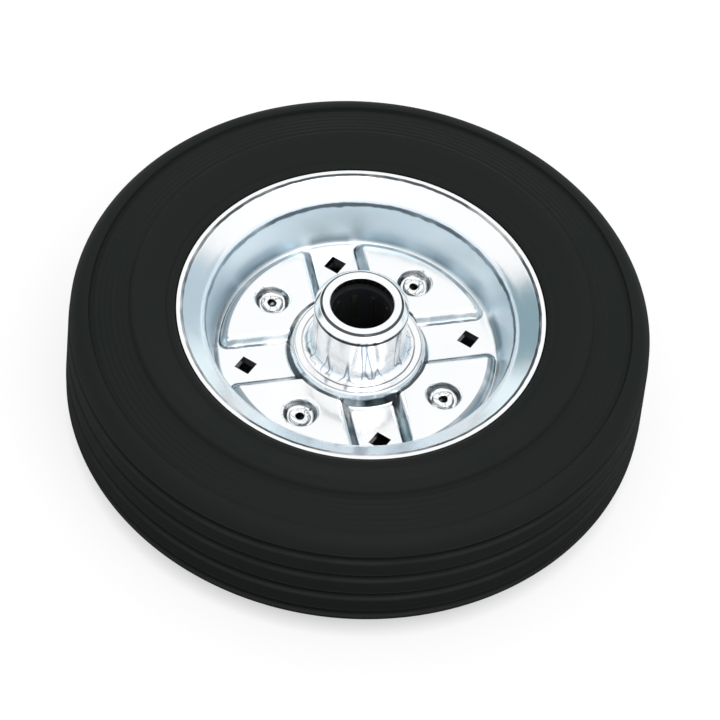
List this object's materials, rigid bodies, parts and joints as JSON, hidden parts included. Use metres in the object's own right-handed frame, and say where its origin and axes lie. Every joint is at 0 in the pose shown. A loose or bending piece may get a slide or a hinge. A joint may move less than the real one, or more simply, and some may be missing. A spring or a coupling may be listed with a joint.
{
  "type": "castor wheel",
  "caption": "Solid rubber castor wheel on a split rim of two pressed steel dishes, with a caged roller bearing in its hub.",
  "frame": {"origin": "centre of the wheel, on its axle line and its mid-plane", "axes": "+Z along the axle line, out of the face that the picture shows; the square holes lie on X and Y"},
  "size_m": [0.2, 0.2, 0.057],
  "materials": {
    "tyre_rubber": "matte black solid rubber",
    "zinc_plate": "bright zinc-plated pressed steel",
    "bearing_steel": "drawn steel tube",
    "ring_steel": "bright zinc-plated pressed ring",
    "cage_plastic": "black moulded polyamide",
    "roller_steel": "ground steel with a film of grease",
    "rivet_steel": "zinc-plated tubular rivet"
  },
  "bodies": {
    "wheel": {"tyre": "tyre_rubber", "rim_front": "zinc_plate", "rim_rear": "zinc_plate", "bearing_housing": "bearing_steel", "end_ring_front": "ring_steel", "end_ring_rear": "ring_steel", "rivet_1": "rivet_steel", "rivet_2": "rivet_steel", "rivet_3": "rivet_steel", "rivet_4": "rivet_steel"},
    "cage": {"roller_cage": "cage_plastic"},
    "roller_1": {"roller_1": "roller_steel"},
    "roller_2": {"roller_2": "roller_steel"},
    "roller_3": {"roller_3": "roller_steel"},
    "roller_4": {"roller_4": "roller_steel"},
    "roller_5": {"roller_5": "roller_steel"},
    "roller_6": {"roller_6": "roller_steel"},
    "roller_7": {"roller_7": "roller_steel"},
    "roller_8": {"roller_8": "roller_steel"},
    "roller_9": {"roller_9": "roller_steel"},
    "roller_10": {"roller_10": "roller_steel"}
  },
  "joints": [
    {"name": "cage_spin", "type": "hinge", "parent": "wheel", "child": "cage", "pos_m": [0, 0, 0], "axis": [0, 0, 1], "continuous": true},
    {"name": "roller_1_spin", "type": "hinge", "parent": "cage", "child": "roller_1", "pos_m": [0.01115, 0.00362, 0], "axis": [0, 0, 1], "continuous": true},
    {"name": "roller_2_spin", "type": "hinge", "parent": "cage", "child": "roller_2", "pos_m": [0.00689, 0.00949, 0], "axis": [0, 0, 1], "continuous": true},
    {"name": "roller_3_spin", "type": "hinge", "parent": "cage", "child": "roller_3", "pos_m": [0, 0.01172, 0], "axis": [0, 0, 1], "continuous": true},
    {"name": "roller_4_spin", "type": "hinge", "parent": "cage", "child": "roller_4", "pos_m": [-0.00689, 0.00949, 0], "axis": [0, 0, 1], "continuous": true},
    {"name": "roller_5_spin", "type": "hinge", "parent": "cage", "child": "roller_5", "pos_m": [-0.01115, 0.00362, 0], "axis": [0, 0, 1], "continuous": true},
    {"name": "roller_6_spin", "type": "hinge", "parent": "cage", "child": "roller_6", "pos_m": [-0.01115, -0.00362, 0], "axis": [0, 0, 1], "continuous": true},
    {"name": "roller_7_spin", "type": "hinge", "parent": "cage", "child": "roller_7", "pos_m": [-0.00689, -0.00949, 0], "axis": [0, 0, 1], "continuous": true},
    {"name": "roller_8_spin", "type": "hinge", "parent": "cage", "child": "roller_8", "pos_m": [0, -0.01172, 0], "axis": [0, 0, 1], "continuous": true},
    {"name": "roller_9_spin", "type": "hinge", "parent": "cage", "child": "roller_9", "pos_m": [0.00689, -0.00949, 0], "axis": [0, 0, 1], "continuous": true},
    {"name": "roller_10_spin", "type": "hinge", "parent": "cage", "child": "roller_10", "pos_m": [0.01115, -0.00362, 0], "axis": [0, 0, 1], "continuous": true}
  ],
  "couplings": [
    {"joint": "roller_1_spin", "follows": "cage_spin", "ratio": -8},
    {"joint": "roller_2_spin", "follows": "cage_spin", "ratio": -8},
    {"joint": "roller_3_spin", "follows": "cage_spin", "ratio": -8},
    {"joint": "roller_4_spin", "follows": "cage_spin", "ratio": -8},
    {"joint": "roller_5_spin", "follows": "cage_spin", "ratio": -8},
    {"joint": "roller_6_spin", "follows": "cage_spin", "ratio": -8},
    {"joint": "roller_7_spin", "follows": "cage_spin", "ratio": -8},
    {"joint": "roller_8_spin", "follows": "cage_spin", "ratio": -8},
    {"joint": "roller_9_spin", "follows": "cage_spin", "ratio": -8},
    {"joint": "roller_10_spin", "follows": "cage_spin", "ratio": -8}
  ]
}
